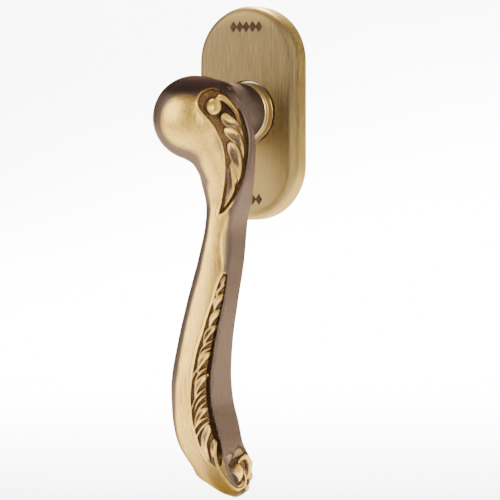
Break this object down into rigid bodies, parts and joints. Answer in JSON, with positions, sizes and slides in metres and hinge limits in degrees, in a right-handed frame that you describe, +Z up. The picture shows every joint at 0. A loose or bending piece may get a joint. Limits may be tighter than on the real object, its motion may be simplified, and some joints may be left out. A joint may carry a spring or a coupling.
{
  "type": "lever window handle",
  "caption": "Window handle with a carved swan-neck lever on an oval clip-on rose, turning a square spindle in a sprung detent base.",
  "frame": {"origin": "on the spindle's axis, in the plane of the sash face that the base sits on", "axes": "+Z up along the rose with the lever hanging down, -Y towards the room and the viewer, +X to the right seen from the room"},
  "size_m": [0.035, 0.0798, 0.155],
  "materials": {
    "bronzed_brass": "satin brushed brass with brown patina in the recesses",
    "polished_brass": "turned and lightly polished",
    "steel": "zinc-plated",
    "dark_steel": "oiled spring steel",
    "zinc": "as-cast zinc alloy",
    "nylon_black": "moulded nylon",
    "nylon_white": "moulded nylon",
    "enamel": "dark brown fill in an engraved mark"
  },
  "bodies": {
    "base": {"base_body": "zinc", "back_plate": "steel", "plate_screw_upper_right": "dark_steel", "plate_screw_upper_left": "dark_steel", "plate_screw_lower_right": "dark_steel", "plate_screw_lower_left": "dark_steel", "neck_bush": "nylon_black", "thrust_washer": "steel", "friction_washer": "nylon_white", "fixing_screw_upper": "steel", "fixing_screw_lower": "steel", "locating_sleeve_upper": "zinc", "locating_sleeve_lower": "zinc", "snap_clip_upper": "dark_steel", "snap_clip_lower": "dark_steel", "detent_spring_upper": "dark_steel", "detent_spring_lower": "dark_steel"},
    "handle": {"lever": "bronzed_brass", "neck_collar": "polished_brass", "index_disc": "steel", "circlip": "dark_steel", "spindle": "steel", "spindle_pin": "dark_steel"},
    "cover": {"rose_cover": "bronzed_brass", "cover_guide_ring": "nylon_white", "press_mark_upper": "enamel", "press_mark_lower": "enamel"},
    "ball_upper": {"detent_ball_upper": "steel"},
    "ball_lower": {"detent_ball_lower": "steel"}
  },
  "joints": [
    {"name": "lever_turn", "type": "hinge", "parent": "base", "child": "handle", "pos_m": [0, 0, 0], "axis": [0, -1, 0], "range_deg": [0, 180]},
    {"name": "cover_slide", "type": "slide", "parent": "base", "child": "cover", "axis": [0, -1, 0], "range_m": [0, 0.012]},
    {"name": "detent_upper", "type": "slide", "parent": "base", "child": "ball_upper", "axis": [0, 0, -1], "range_m": [0, 0.0005], "stiffness_N_per_m": 400, "deforming": ["detent_spring_upper"]},
    {"name": "detent_lower", "type": "slide", "parent": "base", "child": "ball_lower", "axis": [0, 0, 1], "range_m": [0, 0.0005], "stiffness_N_per_m": 400, "deforming": ["detent_spring_lower"]}
  ]
}
